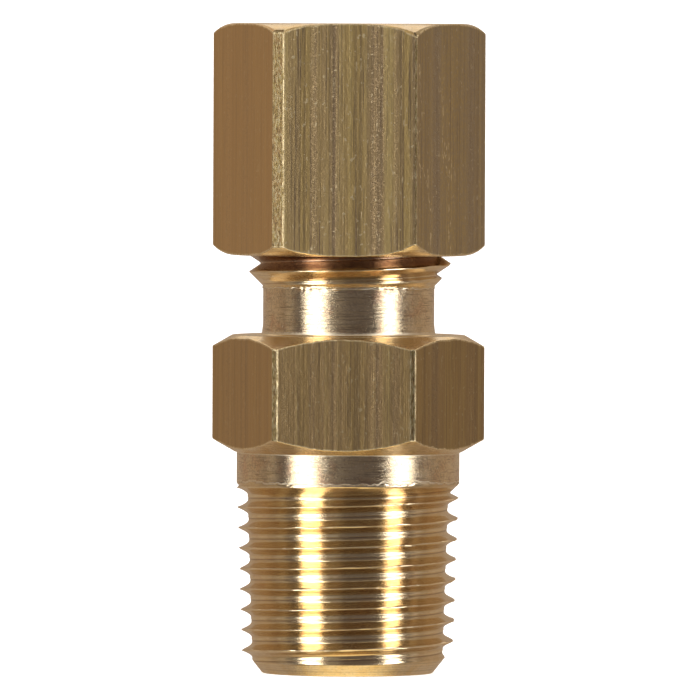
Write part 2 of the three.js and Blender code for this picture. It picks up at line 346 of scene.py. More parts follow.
class Skin:
    """A closed surface gathered from bands, whose shared rings are welded by place."""

    # Marks that the materials read: edge lines, partly wear and partly painted highlight; painted shade on
    # the threads; a flat's tone; and the shade of flats and bevels, partly painted shade.
    MARKS = ("edge", "painted_shade", "tone", "shade")

    def __init__(self, columns, round_within=0):
        """Points nearer the axis than round_within follow the relaxed columns, for smooth round walls."""
        self.columns = columns
        self.round_within = round_within
        self.points, self.marks, self.quads, self.zones = [], [], [], []
        self.count = 0

    def around(self, key):
        """A column value with the first one repeated, which closes the ring."""
        return np.append(self.columns[key], self.columns[key][0])

    def grid(self, radius, height, edge, painted_shade, zones, flip=False):
        """Adds a band. radius, height and the edge and painted shade marks are rows by columns + 1. zones is
        one less each way.
        """
        angle = np.where(radius < self.round_within, self.around("relaxed"), self.around("angle"))
        points = np.stack([radius * np.cos(angle), radius * np.sin(angle), height], axis=-1)
        number = self.count + np.arange(radius.size).reshape(radius.shape)
        quads = np.stack([number[:-1, :-1], number[:-1, 1:], number[1:, 1:], number[1:, :-1]], axis=-1)
        if flip:
            quads = quads[..., ::-1]
        marks = np.broadcast_arrays(edge, painted_shade, self.around("tone"), self.around("shade"))
        self.points.append(points.reshape(-1, 3))
        self.marks.append(np.stack(marks, axis=-1).reshape(-1, len(self.MARKS)))
        self.quads.append(quads.reshape(-1, 4))
        self.zones.append(zones.reshape(-1))
        self.count += radius.size

    def turned(self, outline):
        """Adds rows along an outline of (radius, height, fillet, zone of the wall that follows).

        A radius or a height is one number, or one for each column.
        """
        width = len(self.columns["angle"])
        corners = []
        for radius, height, _, _ in outline:
            corners.append(np.stack(np.broadcast_arrays(radius, height, np.zeros(width))[:2], axis=-1))
        rows, edge, walls = [corners[0]], [0.0], []
        for k in range(1, len(outline) - 1):
            fillet, wall = outline[k][2], outline[k][3]
            walls.append(outline[k - 1][3])
            if not fillet:
                rows.append(corners[k])
                edge.append(0.0)
                continue
            rows += rounded(corners[k - 1], corners[k], corners[k + 1], fillet)
            # Fillet rows carry the edge mark, drawn as a bright line: partly wear, partly painted highlight.
            edge += [0.0] + [1.0] * (FILLET_STEPS + 1) + [0.0]
            middle = (FILLET_STEPS + 3) // 2
            walls += [outline[k - 1][3]] * middle + [wall] * (FILLET_STEPS + 2 - middle)
        rows.append(corners[-1])
        edge.append(0.0)
        walls = np.array(walls + [outline[-2][3]])
        rows = np.array(rows)
        rows = np.concatenate([rows, rows[:, :1]], axis=1)
        on_hex = (np.append(walls, -1) == FLAT) | (np.insert(walls, 0, -1) == FLAT)
        edges = np.maximum(np.array(edge)[:, None], on_hex[:, None] * self.around("edge"))
        zones = np.repeat(walls[:, None], width, axis=1)
        zones = np.where((zones == FLAT) & (self.columns["bevel"] > 0), BEVEL, zones)
        self.grid(rows[..., 0], rows[..., 1], edges, np.zeros_like(edges), zones)

    def screw(self, thread, low, high, ends, trim, zone, flip=False):
        """Adds a helical band between two heights.

        ends are its radii there, and trim(radius, height) cuts it to the blank that it was made in.
        """
        pitch = thread["pitch"]
        turn = self.columns["relaxed"] / (2 * math.pi)
        phases = thread_phases(thread["rows"])
        first = math.floor((np.min(low) - thread["crest_height"]) / pitch - turn[-1]) - 1
        last = math.ceil((np.max(high) - thread["crest_height"]) / pitch - turn[0]) + 1
        along = (np.arange(first, last + 1)[:, None] + phases).reshape(-1)
        phase = np.tile(phases, last + 1 - first)[:, None]
        travel = (along[:, None] - phase + turn) * 2 * math.pi * thread["crest"]
        crest = np.maximum(1 - np.abs(phase) / CREST_WIDTH, 0)
        height = thread["crest_height"] + pitch * (along[:, None] + turn)
        height = height + crest * thread["burr"] * ripple(travel, BURR_WAVES, thread["seed"])
        radius = thread["crest"] + thread["taper"] * height - thread["depth"] * thread["profile"](phase)
        notches = ripple(travel, BURR_NOTCHES, thread["seed"] + 1) - BURR_LOSS
        radius = radius + crest * thread["burr"] * BURR_INWARDS * notches
        clamped = np.clip(height, low, high)
        trimmed = trim(radius, clamped)
        cut = np.where(height < low, 1, np.clip((radius - trimmed) / BLANK_EDGE, 0, 1))
        radius = np.where(height <= low, ends[0], np.where(height >= high, ends[1], trimmed))
        seam = np.minimum(np.arange(len(along)) + thread["rows"], len(along) - 1)
        radius, clamped, cut = (np.concatenate([a, a[seam, :1]], axis=1) for a in (radius, clamped, cut))
        # Painted shade under the nut: the thread darkened from the neck up to just inside the nut, fainter
        # above.
        past = along[:, None] - thread.get("nut_shade_from", last)
        nut_shade = np.clip(past / NUT_SHADE_ONSET, 0, 1) * np.clip(NUT_SHADE_END - past, NUT_SHADE_LEFT, 1)
        # Painted shade across each pitch and under the nut, with none on the blank where it cuts the thread.
        painted_shade = np.maximum(thread_painted_shade(phase), nut_shade) * (1 - cut)
        # Bright edge marks: painted highlights on the crest and the root's ridge, and a line along the
        # blank's edge that is partly burr and partly painted highlight.
        edge = np.maximum(thread_highlight(phase) * (1 - cut), 1 - np.abs(2 * cut - 1))
        zones = np.where((cut[:-1, :-1] > 0.5) & (cut[1:, 1:] > 0.5), CHAMFER, zone)
        self.grid(radius, clamped, edge, painted_shade, zones, flip)

    def build(self, name):
        """Welds the bands into a mesh object in metres, with its marks as point attributes."""
        points = np.concatenate(self.points)
        keys = np.round(points / WELD).astype(np.int64)
        _, first, place = np.unique(keys, axis=0, return_index=True, return_inverse=True)
        place = place.reshape(-1)
        marks = np.zeros((len(first), len(self.MARKS)))
        np.maximum.at(marks, place, np.concatenate(self.marks))
        quads = place[np.concatenate(self.quads)]
        zones = np.concatenate(self.zones)
        repeated = quads == np.roll(quads, -1, axis=1)
        gone = repeated.sum(axis=1)
        triangles = quads[gone == 1][~repeated[gone == 1]].reshape(-1, 3)
        faces = quads[gone == 0].tolist() + triangles.tolist()
        kept = np.concatenate([zones[gone == 0], zones[gone == 1]])
        mesh = bpy.data.meshes.new(name)
        mesh.from_pydata((points[first] * MM).tolist(), [], faces)
        mesh.polygons.foreach_set("material_index", kept.astype(np.int32))
        mesh.polygons.foreach_set("use_smooth", np.ones(len(kept), bool))
        for key, values in zip(self.MARKS, marks.T):
            mesh.attributes.new(key, "FLOAT", "POINT").data.foreach_set("value", values.astype(np.float32))
        mesh.update()
        piece = bpy.data.objects.new(name, mesh)
        bpy.context.scene.collection.objects.link(piece)
        return piece


def thread_phases(rows):
    """Places across one pitch, from -0.5 to 0.5, closer together at the crest and at the root."""
    spread = np.linspace(-1, 1, rows + 1)[:-1]
    return 0.5 * (spread - CROWDING * np.sin(2 * math.pi * spread) / (2 * math.pi))


def hump(phase, amount, middle, width):
    """An amount at a place in a thread's pitch, falling to zero a width away."""
    return amount * np.maximum(1 - np.abs(phase - middle) / width, 0)


def shade_band(phase, amount, low, high):
    """An even amount between two places in a thread's pitch."""
    return amount * np.clip(np.minimum(high - phase, phase - low) / SHADE_BAND_EDGE, 0, 1)


def thread_painted_shade(phase):
    """How much painted shade darkens a thread across one pitch."""
    shade_bands = np.maximum(shade_band(phase, *SHADE_FACING_DOWN), shade_band(phase, *SHADE_FACING_UP))
    lines = np.maximum(hump(phase, *SHADE_ABOVE_CREST), hump(phase, *SHADE_BELOW_RIDGE))
    return np.maximum(shade_bands, lines)


def thread_highlight(phase):
    """How bright a thread is painted across one pitch: painted highlights on the crest and on the root's
    ridge.
    """
    return np.maximum(hump(phase, *HIGHLIGHT_ON_CREST), hump(phase, *HIGHLIGHT_ON_RIDGE))


def eased(distance, blunt):
    """A distance with a rounded start, which blunts a crest."""
    return np.sqrt(distance**2 + blunt**2) - blunt


def finned(phase):
    """Depth of the pipe thread across one pitch, from 0 at its crest to 1 at its root.

    It has thin fins with hollow flanks, and a ridge along the wide root.
    """
    away = np.minimum(eased(phase, PIPE_BLUNT) / PIPE_FLANK, 1)
    return 1 - (1 - away) ** PIPE_HOLLOW - hump(phase, *PIPE_RIDGE)


def pointed(phase):
    """Depth of the nut's thread across one pitch: straight flanks and a narrow root."""
    return np.minimum(eased(phase, NUT_BLUNT) / NUT_FLANK, 1)


# ---- The three pieces ----

# Heights of the rows along round walls that keep their shading even.
COLLAR_ROW = COLLAR_BOTTOM + 0.4
NECK_LOW_ROW = HEX_TOP + 0.5
NECK_HIGH_ROW = THREAD_BOTTOM - 0.35

BURR = 0.03  # height of the burrs where the threads meet the collar and the neck
NECK_BURR_UNEVEN = 1.5
NECK_BURR_WAVES = 0.12
NECK_BURR_FOOT = 0.12  # how far below the thread the neck's burr starts, and how far its top is
NECK_BURR_TOP = 0.05
COLLAR_STEP = 0.08  # out from the collar to where the hex's lower chamfer starts


def hex_edge(columns, depth, seed):
    """How far from an end plane a chamfer meets the hex, column by column."""
    return ragged(depth, columns["angle"] * ACROSS_FLATS / 2, HEX_WAVES, HEX_CHIPS, seed)


def cone_chamfer(columns, face, seed):
    """A straight chamfer's depth at the hex, from a flat circle of radius face."""
    return hex_edge(columns, (columns["hex"] - face) * CHAMFER_SLOPE, seed)


def domed_chamfer(columns, height, place, sign, seed):
    """Outline points of the nut's rounded chamfer, from its flat circle out to the hex."""
    def depth(radius):
        return height * ((radius - DOME_FACE) / (HEX_CORNER - DOME_FACE)) ** DOME_POWER

    points = [(DOME_FACE, place, 0, CHAMFER)]
    for share in DOME_ROWS:
        radius = DOME_FACE + (columns["hex"] - DOME_FACE) * share
        points.append((radius, place + sign * depth(radius), 0, CHAMFER))
    points.append((columns["hex"], place + sign * hex_edge(columns, depth(columns["hex"]), seed), 0.03, FLAT))
    return points


def connector_skin():
    """The body, round one closed outline: out along the pipe end, up the outside, and down the bore."""
    columns = hex_columns(BODY_HEX)
    skin = Skin(columns, COLLAR + 0.04)
    pipe = {"pitch": PIPE_PITCH, "crest_height": PIPE_CREST_HEIGHT, "crest": PIPE_CREST, "taper": PIPE_TAPER,
            "depth": PIPE_DEPTH, "profile": finned, "rows": 20, "burr": 0.05, "seed": 3}
    nut = {"pitch": NUT_PITCH, "crest_height": NUT_CREST_HEIGHT, "crest": NUT_CREST, "taper": 0,
           "depth": NUT_DEPTH, "profile": pointed, "rows": 14, "burr": 0.05, "seed": 8, "nut_shade_from": -0.97}
    lip = 0.08  # the threads start and stop this far inside their blanks' edges
    root = PIPE_CREST - PIPE_DEPTH + PIPE_TAPER * RUN_OUT
    around_collar = columns["relaxed"] * COLLAR
    collar_edge = ragged(COLLAR_BOTTOM + lip, around_collar, COLLAR_WAVES, COLLAR_CHIPS, 5)
    around_neck = columns["relaxed"] * NECK
    neck_edge = wavy(THREAD_BOTTOM, around_neck, NECK_WAVES, 7)
    neck_burr = NECK + BURR * (1 + NECK_BURR_UNEVEN * ripple(around_neck, NECK_BURR_WAVES, 9))

    def pipe_blank(radius, height):
        nose = np.maximum(NOSE + NOSE_SLOPE * height, PIPE_CREST - FIRST_CREST_SLOPE * (FULL_THREAD - height))
        outside = np.minimum(nose, PIPE_CREST + PIPE_TAPER * height)
        fading = root + (COLLAR - root) * (height - RUN_OUT) / (COLLAR_BOTTOM - RUN_OUT)
        return np.maximum(np.minimum(radius, outside), np.minimum(fading, COLLAR))

    def nut_blank(radius, height):
        outside = np.minimum(NECK + height - THREAD_BOTTOM, BODY_RIM + BODY_TOP - height)
        return np.maximum(np.minimum(radius, outside), np.minimum(NECK, outside))

    skin.turned([
        (FLOW, TUBE_STOP / 2, 0, BORE),
        (FLOW, EDGE_BREAK, 0.04, CHAMFER),
        (FLOW + EDGE_BREAK, 0, 0.04, CHAMFER),
        (NOSE, 0, 0.05, CHAMFER),
        (NOSE + NOSE_SLOPE * lip, lip, 0, CHAMFER),
    ])
    skin.screw(pipe, lip, collar_edge, (NOSE + NOSE_SLOPE * lip, COLLAR - BURR), pipe_blank, THREAD)
    skin.turned([
        (COLLAR - BURR, collar_edge, 0, TURNED),
        (COLLAR, collar_edge + BURR, 0.02, TURNED),
        (COLLAR, COLLAR_ROW, 0, TURNED),
        (COLLAR, HEX_BOTTOM, 0.03, CHAMFER),
        (COLLAR + COLLAR_STEP, HEX_BOTTOM, 0.03, CHAMFER),
        (columns["hex"], HEX_BOTTOM + cone_chamfer(columns, COLLAR + COLLAR_STEP, 21), 0.03, FLAT),
        (columns["hex"], HEX_TOP - cone_chamfer(columns, BODY_FACE, 31), 0.03, CHAMFER),
        (BODY_FACE, HEX_TOP, 0.03, CHAMFER),
        (NECK + 0.06, HEX_TOP, 0.12, TURNED),
        (NECK, NECK_LOW_ROW, 0, TURNED),
        (NECK, NECK_HIGH_ROW, 0, TURNED),
        (NECK, neck_edge - NECK_BURR_FOOT, 0, TURNED),
        (neck_burr, neck_edge - NECK_BURR_TOP, 0.02, NUT_THREAD),
        (NECK, neck_edge, 0, NUT_THREAD),
    ])
    skin.screw(nut, neck_edge, BODY_TOP - lip, (NECK, BODY_RIM + lip), nut_blank, NUT_THREAD)
    skin.turned([
        (BODY_RIM + lip, BODY_TOP - lip, 0, CHAMFER),
        (BODY_RIM, BODY_TOP, 0.04, CHAMFER),
        (SEAT_MOUTH, BODY_TOP, 0.04, BORE),
        (SOCKET, SEAT_BOTTOM, 0.05, BORE),
        (SOCKET, TUBE_STOP, 0.05, BORE),
        (FLOW, TUBE_STOP, 0.03, BORE),
        (FLOW, TUBE_STOP / 2, 0, BORE),
    ])
    return skin.build("connector_skin")


def nut_skin():
    """The nut, round its outline: out along its underside, up the flats, and down through the tube hole."""
    columns = hex_columns(NUT_HEX)
    skin = Skin(columns, NUT_ROOT + EDGE_BREAK + 0.02)
    thread = {"pitch": NUT_PITCH, "crest_height": NUT_CREST_HEIGHT + NUT_TURN / (2 * math.pi) * NUT_PITCH,
              "crest": NUT_ROOT, "taper": 0, "depth": NUT_DEPTH, "profile": pointed, "rows": 12, "burr": 0.02,
              "seed": 13}
    lip = 0.05  # the thread starts this far inside its countersink

    def threaded(radius, height):
        countersink = NUT_ROOT + EDGE_BREAK - (height - NUT_BOTTOM)
        last = NUT_CAVITY + np.maximum(CONE_START - height, 0)
        return np.maximum(np.minimum(radius, last), np.maximum(countersink, NUT_CAVITY))

    skin.turned(
        [(NUT_ROOT + EDGE_BREAK - lip, NUT_BOTTOM + lip, 0, CHAMFER),
         (NUT_ROOT + EDGE_BREAK, NUT_BOTTOM, 0, CHAMFER)]
        + domed_chamfer(columns, DOME_HEIGHT, NUT_BOTTOM, 1, 41)
        + domed_chamfer(columns, DOME_HEIGHT, NUT_TOP, -1, 51)[::-1]
        + [(HOLE + EDGE_BREAK, NUT_TOP, 0.04, CHAMFER),
           (HOLE, NUT_TOP - EDGE_BREAK, 0.04, BORE),
           (HOLE, CONE_END, 0.05, BORE),
           (NUT_CAVITY, CONE_START, 0, BORE)])
    skin.screw(thread, NUT_BOTTOM + lip, CONE_START, (NUT_ROOT + EDGE_BREAK - lip, NUT_CAVITY), threaded,
               NUT_THREAD, flip=True)
    piece = skin.build("nut_skin")
    piece.data.transform(Matrix.Rotation(NUT_TURN, 4, "Z"))
    return piece


def ferrule_skin():
    """The ferrule: a barrel with a long nose, a 45 degree back and a plain bore."""
    nose_length = (FERRULE_RADIUS - FERRULE_NOSE) / math.tan(FERRULE_NOSE_ANGLE)
    skin = Skin(round_columns(180))
    skin.turned([
        (FERRULE_BORE, (FERRULE_BOTTOM + FERRULE_TOP) / 2, 0, BORE),
        (FERRULE_BORE, FERRULE_BOTTOM, 0.04, TURNED),
        (FERRULE_NOSE, FERRULE_BOTTOM, 0.05, TURNED),
        (FERRULE_RADIUS, FERRULE_BOTTOM + nose_length, 0.3, TURNED),
        (FERRULE_RADIUS, FERRULE_TOP - FERRULE_BACK_WIDTH, 0.1, TURNED),
        (FERRULE_RADIUS - FERRULE_BACK_WIDTH, FERRULE_TOP, 0.06, TURNED),
        (FERRULE_BORE, FERRULE_TOP, 0.04, BORE),
        (FERRULE_BORE, (FERRULE_BOTTOM + FERRULE_TOP) / 2, 0, BORE),
    ])
    return skin.build("ferrule_skin")


# ---- Materials ----

class Nodes:
    """A short way to write a material's node tree."""

    def __init__(self, name, tree=None):
        if tree is None:
            self.material = bpy.data.materials.new(name)
            self.material.use_nodes = True
            tree = self.material.node_tree
        self.tree = tree
        self.tree.nodes.clear()

    def add(self, kind, inputs=None, output=0, **settings):
        made = self.tree.nodes.new(kind)
        for key, value in settings.items():
            setattr(made, key, value)
        for key, value in (inputs or {}).items():
            if isinstance(value, bpy.types.NodeSocket):
                self.tree.links.new(value, made.inputs[key])
            else:
                made.inputs[key].default_value = value
        return made.outputs[output] if made.outputs else made

    def place(self, stretch):
        """Object coordinates in millimetres, times stretch."""
        where = self.add("ShaderNodeTexCoord", output=3)
        return self.add("ShaderNodeMapping", {"Vector": where, "Scale": [s / MM for s in stretch]})

    def noise(self, stretch, scale, detail=4.0, rough=0.6):
        return self.add("ShaderNodeTexNoise", {
            "Vector": self.place(stretch), "Scale": scale, "Detail": detail, "Roughness": rough})

    def attribute(self, name):
        return self.add("ShaderNodeAttribute", output=2, attribute_name=name)

    def math(self, operation, a, b, c=0.0):
        return self.add("ShaderNodeMath", {0: a, 1: b, 2: c}, operation=operation)

    def remap(self, value, low, high, to_low=0.0, to_high=1.0):
        return self.add("ShaderNodeMapRange", {
            "Value": value, "From Min": low, "From Max": high, "To Min": to_low, "To Max": to_high})

    def blend(self, share, a, b, mode="MIX"):
        made = self.tree.nodes.new("ShaderNodeMix")
        made.data_type = "RGBA"
        made.blend_type = mode
        for socket, value in ((made.inputs[0], share), (made.inputs[6], a), (made.inputs[7], b)):
            if isinstance(value, bpy.types.NodeSocket):
                self.tree.links.new(value, socket)
            else:
                socket.default_value = value if isinstance(value, float) else (*value, 1)
        return made.outputs[2]

    def shaded(self, colour):
        """A colour times the surface's shade mark: painted shade, partly each face's own tone."""
        return self.blend(1.0, colour, self.attribute("shade"), "MULTIPLY")

    def bump(self, height, distance, strength, under=None):
        inputs = {"Height": height, "Distance": distance * MM, "Strength": strength}
        if under:
            inputs["Normal"] = under
        return self.add("ShaderNodeBump", inputs)

    def metal(self, colour, roughness, normal):
        shader = self.add("ShaderNodeBsdfPrincipled", {
            "Base Color": colour, "Metallic": 1.0, "Roughness": roughness, "Normal": normal})
        self.add("ShaderNodeOutputMaterial", {"Surface": shader})
        return self.material


PALE_GOLD = (0.93, 0.77, 0.46)
GOLD = (0.86, 0.63, 0.30)
CREAM = (0.92, 0.81, 0.62)
WARM_BROWN = (0.66, 0.42, 0.185)
OLIVE_GOLD = (0.69, 0.50, 0.19)
LIGHT_OLIVE = (0.90, 0.70, 0.29)
UMBER = (0.54, 0.39, 0.20)
GREY_BROWN = (0.46, 0.37, 0.26)
DARK_BROWN = (0.30, 0.21, 0.12)
# The colour of the painted shade on threads.
PURPLE_BROWN = (0.30, 0.165, 0.11)
ROSE = (0.78, 0.47, 0.28)
TURNED_BRASS = (0.88, 0.72, 0.49)
THREAD_GOLD = (0.90, 0.74, 0.47)


def drawn_brass():
    """The flats: bands and long streaks from drawing, hairlines, chatter marks, scratches, and specks."""
    m = Nodes("drawn_brass")
    tone = m.attribute("tone")
    bands = m.noise((1, 1, 0.006), 0.9, 2)
    streaks = m.noise((1, 1, 0.004), 3.2, 6, 0.75)
    hairs = m.noise((1, 1, 0.012), 11, 3, 0.7)
    chatter = m.noise((1, 1, 2.2), 5, 3, 0.7)
    scratches = m.noise((1, 1, 0.15), 7, 3, 0.7)
    specks = m.noise((1, 1, 0.7), 6, 2, 0.5)
    grain = m.noise((1, 1, 0.4), 14, 3, 0.7)
    streaky = m.blend(m.remap(bands, 0.42, 0.58), OLIVE_GOLD, UMBER)
    colour = m.blend(tone, WARM_BROWN, streaky)
    depth = m.remap(tone, 0, 0.8, 0.2, 1)
    light = m.math("MULTIPLY", m.remap(streaks, 0.53, 0.66), depth)
    colour = m.blend(m.math("MULTIPLY", light, 0.75), colour, LIGHT_OLIVE)
    dark = m.math("MULTIPLY", m.remap(streaks, 0.5, 0.36), depth)
    colour = m.blend(m.math("MULTIPLY", dark, 0.9), colour, DARK_BROWN)
    lines = m.math("MULTIPLY", m.remap(hairs, 0.55, 0.63), depth)
    colour = m.blend(m.math("MULTIPLY", lines, 0.9), colour, DARK_BROWN)
    rough_band = m.math("MULTIPLY", m.remap(bands, 0.5, 0.6), depth)
    marks = m.math("MULTIPLY", m.remap(chatter, 0.54, 0.62), rough_band)
    colour = m.blend(m.math("MULTIPLY", marks, 0.8), colour, DARK_BROWN)
    nicked = m.math("MAXIMUM", m.remap(scratches, 0.625, 0.7, 0, 0.7), m.remap(specks, 0.66, 0.71, 0, 0.85))
    colour = m.blend(m.math("MULTIPLY", nicked, depth), colour, PALE_GOLD)
    greyed = m.math("MULTIPLY", m.remap(grain, 0.3, 0.6, 0.2, 1), m.remap(tone, 0.85, 1, 0.18, 0.75))
    colour = m.blend(greyed, colour, GREY_BROWN)
    colour = m.blend(m.math("MULTIPLY", wandering_scratch(m), m.remap(tone, 0.85, 1)), colour, PALE_GOLD)
    # Painted shade: each flat darkened by its shade mark, partly its own tone, most on the right-hand flats.
    colour = m.shaded(colour)
    # Bright edge lines: partly wear, partly painted highlight.
    wear_and_highlight = m.math("MULTIPLY", m.attribute("edge"), m.remap(grain, 0.4, 0.6, 0.1, 0.9))
    colour = m.blend(wear_and_highlight, colour, PALE_GOLD)
    normal = m.bump(streaks, 0.03, 0.6)
    normal = m.bump(hairs, 0.01, 0.5, normal)
    normal = m.bump(marks, 0.015, 0.5, normal)
    normal = m.bump(scratches, 0.02, 0.4, normal)
    normal = m.bump(specks, 0.03, 0.4, normal)
    return m.metal(colour, m.remap(bands, 0.3, 0.7, 0.38, 0.46), normal)


def wandering_scratch(m):
    """A thin broken line that wanders up a flat, from one level of a stretched noise."""
    drift = m.noise((1, 1, 0.18), 0.42, 5, 0.6)
    off = m.math("ABSOLUTE", m.math("SUBTRACT", drift, 0.56), 0.0)
    broken = m.remap(m.noise((1, 1, 1), 3, 3), 0.45, 0.55)
    return m.math("MULTIPLY", m.remap(off, 0.006, 0.002), broken)


def bevel_brass():
    """The bar's flattened corners: rough and speckled."""
    m = Nodes("bevel_brass")
    grain = m.noise((1, 1, 0.35), 6, 4, 0.7)
    flecks = m.noise((1, 1, 0.3), 14, 2)
    colour = m.blend(m.remap(grain, 0.42, 0.58), OLIVE_GOLD, WARM_BROWN)
    colour = m.blend(m.remap(flecks, 0.5, 0.62, 0, 0.9), colour, PALE_GOLD)
    colour = m.blend(m.remap(flecks, 0.46, 0.36, 0, 0.8), colour, DARK_BROWN)
    # Painted shade: each bevel darkened by its shade mark, most on the front ones.
    colour = m.shaded(colour)
    # Bright edge lines: partly wear, partly painted highlight.
    wear_and_highlight = m.math("MULTIPLY", m.attribute("edge"), m.remap(grain, 0.4, 0.6, 0, 0.9))
    colour = m.blend(wear_and_highlight, colour, PALE_GOLD)
    normal = m.bump(grain, 0.05, 0.6)
    return m.metal(colour, 0.5, m.bump(flecks, 0.02, 0.5, normal))


def chamfer_brass():
    """Faces and chamfers cut on the lathe: rings, smears and a fine grain."""
    m = Nodes("chamfer_brass")
    radial = m.add("ShaderNodeVectorMath", {0: m.place((1, 1, 0.0))}, output=1, operation="LENGTH")
    rings = m.add("ShaderNodeTexNoise", {"W": radial, "Scale": 14.0, "Detail": 3.0}, noise_dimensions="1D")
    grain = m.noise((1, 1, 1), 8, 3)
    smears = m.noise((1, 1, 1), 1.2, 3)
    colour = m.blend(m.remap(smears, 0.4, 0.7, 0.3, 0.9), CREAM, GOLD)
    colour = m.blend(m.remap(grain, 0.5, 0.75, 0, 0.4), colour, GREY_BROWN)
    colour = m.blend(m.remap(rings, 0.45, 0.65, 0, 0.45), colour, GREY_BROWN)
    # Bright edge lines: partly wear, partly painted highlight.
    wear_and_highlight = m.math("MULTIPLY", m.attribute("edge"), m.remap(grain, 0.4, 0.6, 0, 0.8))
    colour = m.blend(wear_and_highlight, colour, PALE_GOLD)
    normal = m.bump(rings, 0.02, 0.3)
    normal = m.bump(grain, 0.02, 0.35, normal)
    return m.metal(colour, 0.24, normal)


def lathe_lines(m, fine, stretch=0.15):
    """Fine lines round the axis, as a cutting tool leaves them."""
    return m.noise((stretch, stretch, 1), fine, 4, 0.7)


def turned_brass():
    """The neck, the collar and the ferrule: fine lines round them, grey mottling and a rosy bloom."""
    m = Nodes("turned_brass")
    lines = lathe_lines(m, 7)
    hairs = lathe_lines(m, 22, 0.04)
    bloom = m.noise((1, 1, 1), 1.1, 3)
    mottle = m.noise((1, 1, 1), 9, 4, 0.75)
    sparks = m.noise((1, 1, 1), 8, 1)
    colour = m.blend(m.remap(lines, 0.45, 0.7, 0, 0.4), TURNED_BRASS, GOLD)
    colour = m.blend(m.remap(hairs, 0.55, 0.62, 0, 0.75), colour, DARK_BROWN)
    mottled = m.math("MULTIPLY", m.remap(mottle, 0.42, 0.58), m.remap(bloom, 0.35, 0.6, 0.2, 0.9))
    colour = m.blend(mottled, colour, GREY_BROWN)
    colour = m.blend(m.remap(mottle, 0.42, 0.32, 0, 0.7), colour, DARK_BROWN)
    colour = m.blend(m.remap(bloom, 0.5, 0.66, 0, 0.4), colour, ROSE)
    colour = m.blend(m.remap(sparks, 0.7, 0.74), colour, CREAM)
    # Bright edge lines: partly wear, partly painted highlight.
    wear_and_highlight = m.math("MULTIPLY", m.attribute("edge"), 0.7)
    colour = m.blend(wear_and_highlight, colour, CREAM)
    normal = m.bump(lines, 0.02, 0.3)
    normal = m.bump(hairs, 0.012, 0.7, normal)
    smooth = m.remap(mottle, 0.35, 0.65, 0.1, 0.2)
    return m.metal(colour, m.math("MULTIPLY_ADD", wear_and_highlight, 0.25, smooth), normal)


def thread_brass(name, base, stain, amount):
    """Cut threads: blunt crests and root ridges with painted highlights, lines along the flanks, stains in
    patches, and painted shade in the root, on the flanks and under the nut.
    """
    m = Nodes(name)
    lines = lathe_lines(m, 8)
    hairs = lathe_lines(m, 20, 0.05)
    patches = m.noise((1, 1, 1.4), 0.7, 3)
    haze = m.noise((1, 1, 1), 5, 4)
    colour = m.blend(m.remap(lines, 0.42, 0.66, 0, 0.6), base, GOLD)
    colour = m.blend(m.remap(hairs, 0.58, 0.7, 0, 0.4), colour, DARK_BROWN)
    colour = m.blend(m.remap(patches, 0.48, 0.66, 0, amount), colour, stain)
    colour = m.blend(m.remap(haze, 0.52, 0.72, 0, 0.35), colour, UMBER)
    # Painted shade: the thread darker and duller in the root, on the flanks and under the nut.
    painted_shade = m.math("MULTIPLY", m.attribute("painted_shade"), m.remap(haze, 0.3, 0.6, 1, 0.7))
    colour = m.blend(painted_shade, colour, PURPLE_BROWN)
    # Painted highlights on the crest and the root's ridge, and the bright line at the blank's edge, partly
    # burr and partly painted highlight.
    wear_and_highlight = m.math("MULTIPLY", m.attribute("edge"), m.remap(haze, 0.35, 0.65, 0.9, 0.4))
    colour = m.blend(wear_and_highlight, colour, CREAM)
    normal = m.bump(lines, 0.02, 0.3)
    normal = m.bump(hairs, 0.008, 0.4, normal)
    normal = m.bump(haze, 0.01, 0.2, normal)
    smooth = m.remap(haze, 0.35, 0.65, 0.1, 0.17)
    dull = m.math("MULTIPLY_ADD", painted_shade, 0.12, smooth)
    return m.metal(colour, m.math("MULTIPLY_ADD", wear_and_highlight, 0.2, dull), normal)


def bore_brass():
    """Bores, the seat and the cone: drilled and reamed, and duller than the outside."""
    m = Nodes("bore_brass")
    lines = lathe_lines(m, 10)
    haze = m.noise((1, 1, 1), 4, 4)
    colour = m.blend(m.remap(haze, 0.4, 0.65), GOLD, OLIVE_GOLD)
    return m.metal(colour, m.remap(lines, 0.3, 0.7, 0.24, 0.36), m.bump(lines, 0.015, 0.4))


def finishes():
    """One material for each zone, in the order of the zones."""
    return [
        drawn_brass(),
        bevel_brass(),
        chamfer_brass(),
        turned_brass(),
        thread_brass("pipe_thread_brass", THREAD_GOLD, ROSE, 0.2),
        thread_brass("nut_thread_brass", THREAD_GOLD, ROSE, 0.35),
        bore_brass(),
    ]


# ---- The studio ----

# The camera stands level with the top of the nut, far off with a long lens, a little round towards +X, and it
# leans a little.
CAMERA_AZIMUTH = 2.2
CAMERA_DISTANCE = 600
CAMERA_AIM = (0.07, 14.9)  # across and up, of the point that it looks at
CAMERA_LEAN = 0.22
CAMERA_LENS = 669
CAMERA_SENSOR = 36

# Soft boxes by where the fitting sees them, in degrees round from the camera and above the horizon.
#        name          azimuth  elevation  width  height  radiance  colour
LIGHTS = (
    ("strip_left",     -46,     4,         25,    94,     4.0,      (0.98, 0.98, 0.98)),
    ("spill_left",     -20,     0,         22,    84,     0.13,     (1, 0.93, 0.8)),
    ("card_left",      -86,     0,         14,    84,     0.12,     (1, 0.9, 0.7)),
    ("strip_right",    57,      4,         19,    94,     4.0,      (0.98, 0.98, 1)),
    ("card_right",     89,      0,         9,     84,     0.2,      (1, 0.93, 0.85)),
    ("overhead",       180,     54,        60,    56,     0.65,     (1, 0.95, 0.88)),
    ("ceiling",        0,       62,        60,    40,     0.25,     (1, 0.9, 0.75)),
)
LIGHT_DISTANCE = 500

